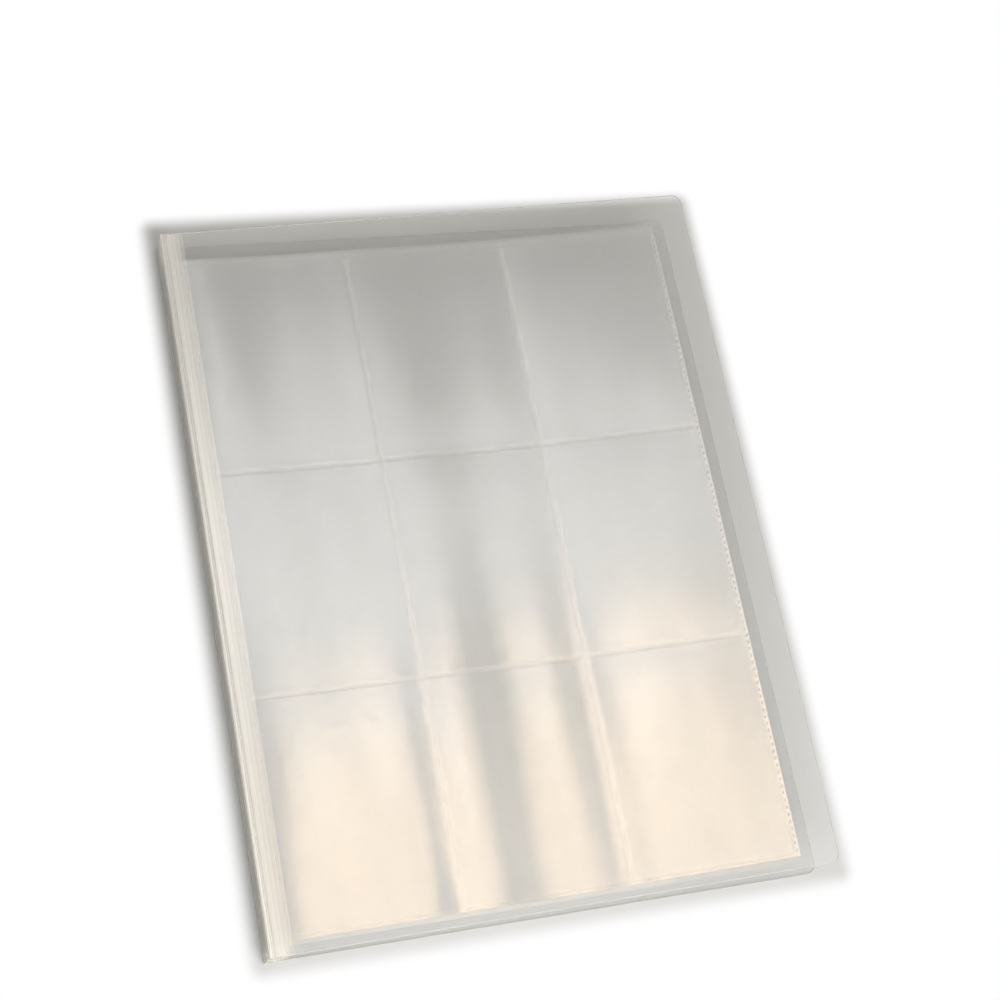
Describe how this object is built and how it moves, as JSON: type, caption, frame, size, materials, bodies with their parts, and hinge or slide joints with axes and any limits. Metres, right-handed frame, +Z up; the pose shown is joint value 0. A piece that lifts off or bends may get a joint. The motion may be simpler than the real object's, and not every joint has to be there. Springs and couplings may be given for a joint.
{
  "type": "photo card album",
  "caption": "Clear photo card album: frosted creased cover that opens flat, with welded film leaves of top-loading card pockets that fan out from a binding strip in the spine.",
  "frame": {"origin": "centre of the underside of the album, lying on its back cover", "axes": "+Z up, out of the front cover; +Y to the top of the pages, along the spine; +X from the spine to the fore edge"},
  "size_m": [0.23, 0.3, 0.026],
  "materials": {
    "frosted_sheet": "frosted translucent polypropylene sheet",
    "welded_strip": "natural polypropylene strip, heat welded",
    "backing_film": "clear soft polypropylene film",
    "pocket_film": "clear glossy polypropylene film with pressed weld lines"
  },
  "bodies": {
    "back_cover": {"back_cover": "frosted_sheet"},
    "spine": {"spine_panel": "frosted_sheet", "binding_strip": "welded_strip"},
    "front_cover": {"front_cover": "frosted_sheet"},
    "leaf_01": {"leaf_01_backing": "backing_film", "leaf_01_pockets": "pocket_film"},
    "leaf_02": {"leaf_02_backing": "backing_film", "leaf_02_pockets": "pocket_film"},
    "leaf_03": {"leaf_03_backing": "backing_film", "leaf_03_pockets": "pocket_film"},
    "leaf_04": {"leaf_04_backing": "backing_film", "leaf_04_pockets": "pocket_film"},
    "leaf_05": {"leaf_05_backing": "backing_film", "leaf_05_pockets": "pocket_film"},
    "leaf_06": {"leaf_06_backing": "backing_film", "leaf_06_pockets": "pocket_film"},
    "leaf_07": {"leaf_07_backing": "backing_film", "leaf_07_pockets": "pocket_film"},
    "leaf_08": {"leaf_08_backing": "backing_film", "leaf_08_pockets": "pocket_film"},
    "leaf_09": {"leaf_09_backing": "backing_film", "leaf_09_pockets": "pocket_film"},
    "leaf_10": {"leaf_10_backing": "backing_film", "leaf_10_pockets": "pocket_film"},
    "leaf_11": {"leaf_11_backing": "backing_film", "leaf_11_pockets": "pocket_film"},
    "leaf_12": {"leaf_12_backing": "backing_film", "leaf_12_pockets": "pocket_film"},
    "leaf_13": {"leaf_13_backing": "backing_film", "leaf_13_pockets": "pocket_film"},
    "leaf_14": {"leaf_14_backing": "backing_film", "leaf_14_pockets": "pocket_film"},
    "leaf_15": {"leaf_15_backing": "backing_film", "leaf_15_pockets": "pocket_film"},
    "leaf_16": {"leaf_16_backing": "backing_film", "leaf_16_pockets": "pocket_film"},
    "leaf_17": {"leaf_17_backing": "backing_film", "leaf_17_pockets": "pocket_film"},
    "leaf_18": {"leaf_18_backing": "backing_film", "leaf_18_pockets": "pocket_film"},
    "leaf_19": {"leaf_19_backing": "backing_film", "leaf_19_pockets": "pocket_film"},
    "leaf_20": {"leaf_20_backing": "backing_film", "leaf_20_pockets": "pocket_film"}
  },
  "joints": [
    {"name": "spine_fold", "type": "hinge", "parent": "back_cover", "child": "spine", "pos_m": [-0.1146, 0, 0.0004], "axis": [0, -1, 0], "range_deg": [0, 90]},
    {"name": "front_cover_fold", "type": "hinge", "parent": "spine", "child": "front_cover", "pos_m": [-0.1146, 0, 0.0136], "axis": [0, -1, 0], "range_deg": [0, 87]},
    {"name": "leaf_01_turn", "type": "hinge", "parent": "spine", "child": "leaf_01", "pos_m": [-0.1135, 0, 0.00111], "axis": [0, -1, 0], "range_deg": [-75.6, 0]},
    {"name": "leaf_02_turn", "type": "hinge", "parent": "spine", "child": "leaf_02", "pos_m": [-0.1135, 0, 0.00173], "axis": [0, -1, 0], "range_deg": [-67.65, 0]},
    {"name": "leaf_03_turn", "type": "hinge", "parent": "spine", "child": "leaf_03", "pos_m": [-0.1135, 0, 0.00235], "axis": [0, -1, 0], "range_deg": [-59.69, 0]},
    {"name": "leaf_04_turn", "type": "hinge", "parent": "spine", "child": "leaf_04", "pos_m": [-0.1135, 0, 0.00297], "axis": [0, -1, 0], "range_deg": [-51.73, 0]},
    {"name": "leaf_05_turn", "type": "hinge", "parent": "spine", "child": "leaf_05", "pos_m": [-0.1135, 0, 0.00359], "axis": [0, -1, 0], "range_deg": [-43.77, 0]},
    {"name": "leaf_06_turn", "type": "hinge", "parent": "spine", "child": "leaf_06", "pos_m": [-0.1135, 0, 0.00421], "axis": [0, -1, 0], "range_deg": [-35.82, 0]},
    {"name": "leaf_07_turn", "type": "hinge", "parent": "spine", "child": "leaf_07", "pos_m": [-0.1135, 0, 0.00483], "axis": [0, -1, 0], "range_deg": [-27.86, 0]},
    {"name": "leaf_08_turn", "type": "hinge", "parent": "spine", "child": "leaf_08", "pos_m": [-0.1135, 0, 0.00545], "axis": [0, -1, 0], "range_deg": [-19.9, 0]},
    {"name": "leaf_09_turn", "type": "hinge", "parent": "spine", "child": "leaf_09", "pos_m": [-0.1135, 0, 0.00607], "axis": [0, -1, 0], "range_deg": [-11.94, 0]},
    {"name": "leaf_10_turn", "type": "hinge", "parent": "spine", "child": "leaf_10", "pos_m": [-0.1135, 0, 0.00669], "axis": [0, -1, 0], "range_deg": [-3.98, 0]},
    {"name": "leaf_11_turn", "type": "hinge", "parent": "spine", "child": "leaf_11", "pos_m": [-0.1135, 0, 0.00731], "axis": [0, -1, 0], "range_deg": [0, 3.85]},
    {"name": "leaf_12_turn", "type": "hinge", "parent": "spine", "child": "leaf_12", "pos_m": [-0.1135, 0, 0.00793], "axis": [0, -1, 0], "range_deg": [0, 11.54]},
    {"name": "leaf_13_turn", "type": "hinge", "parent": "spine", "child": "leaf_13", "pos_m": [-0.1135, 0, 0.00855], "axis": [0, -1, 0], "range_deg": [0, 19.24]},
    {"name": "leaf_14_turn", "type": "hinge", "parent": "spine", "child": "leaf_14", "pos_m": [-0.1135, 0, 0.00917], "axis": [0, -1, 0], "range_deg": [0, 26.93]},
    {"name": "leaf_15_turn", "type": "hinge", "parent": "spine", "child": "leaf_15", "pos_m": [-0.1135, 0, 0.00979], "axis": [0, -1, 0], "range_deg": [0, 34.62]},
    {"name": "leaf_16_turn", "type": "hinge", "parent": "spine", "child": "leaf_16", "pos_m": [-0.1135, 0, 0.01041], "axis": [0, -1, 0], "range_deg": [0, 42.31]},
    {"name": "leaf_17_turn", "type": "hinge", "parent": "spine", "child": "leaf_17", "pos_m": [-0.1135, 0, 0.01103], "axis": [0, -1, 0], "range_deg": [0, 50]},
    {"name": "leaf_18_turn", "type": "hinge", "parent": "spine", "child": "leaf_18", "pos_m": [-0.1135, 0, 0.01165], "axis": [0, -1, 0], "range_deg": [0, 57.7]},
    {"name": "leaf_19_turn", "type": "hinge", "parent": "spine", "child": "leaf_19", "pos_m": [-0.1135, 0, 0.01227], "axis": [0, -1, 0], "range_deg": [0, 65.39]},
    {"name": "leaf_20_turn", "type": "hinge", "parent": "spine", "child": "leaf_20", "pos_m": [-0.1135, 0, 0.01289], "axis": [0, -1, 0], "range_deg": [0, 73.08]}
  ],
  "couplings": [
    {"joint": "leaf_01_turn", "follows": "spine_fold", "ratio": -0.84},
    {"joint": "leaf_02_turn", "follows": "spine_fold", "ratio": -0.7516},
    {"joint": "leaf_03_turn", "follows": "spine_fold", "ratio": -0.6632},
    {"joint": "leaf_04_turn", "follows": "spine_fold", "ratio": -0.5747},
    {"joint": "leaf_05_turn", "follows": "spine_fold", "ratio": -0.4863},
    {"joint": "leaf_06_turn", "follows": "spine_fold", "ratio": -0.3979},
    {"joint": "leaf_07_turn", "follows": "spine_fold", "ratio": -0.3095},
    {"joint": "leaf_08_turn", "follows": "spine_fold", "ratio": -0.2211},
    {"joint": "leaf_09_turn", "follows": "spine_fold", "ratio": -0.1326},
    {"joint": "leaf_10_turn", "follows": "spine_fold", "ratio": -0.0442},
    {"joint": "leaf_11_turn", "follows": "front_cover_fold", "ratio": 0.0442},
    {"joint": "leaf_12_turn", "follows": "front_cover_fold", "ratio": 0.1326},
    {"joint": "leaf_13_turn", "follows": "front_cover_fold", "ratio": 0.2211},
    {"joint": "leaf_14_turn", "follows": "front_cover_fold", "ratio": 0.3095},
    {"joint": "leaf_15_turn", "follows": "front_cover_fold", "ratio": 0.3979},
    {"joint": "leaf_16_turn", "follows": "front_cover_fold", "ratio": 0.4863},
    {"joint": "leaf_17_turn", "follows": "front_cover_fold", "ratio": 0.5747},
    {"joint": "leaf_18_turn", "follows": "front_cover_fold", "ratio": 0.6632},
    {"joint": "leaf_19_turn", "follows": "front_cover_fold", "ratio": 0.7516},
    {"joint": "leaf_20_turn", "follows": "front_cover_fold", "ratio": 0.84}
  ]
}
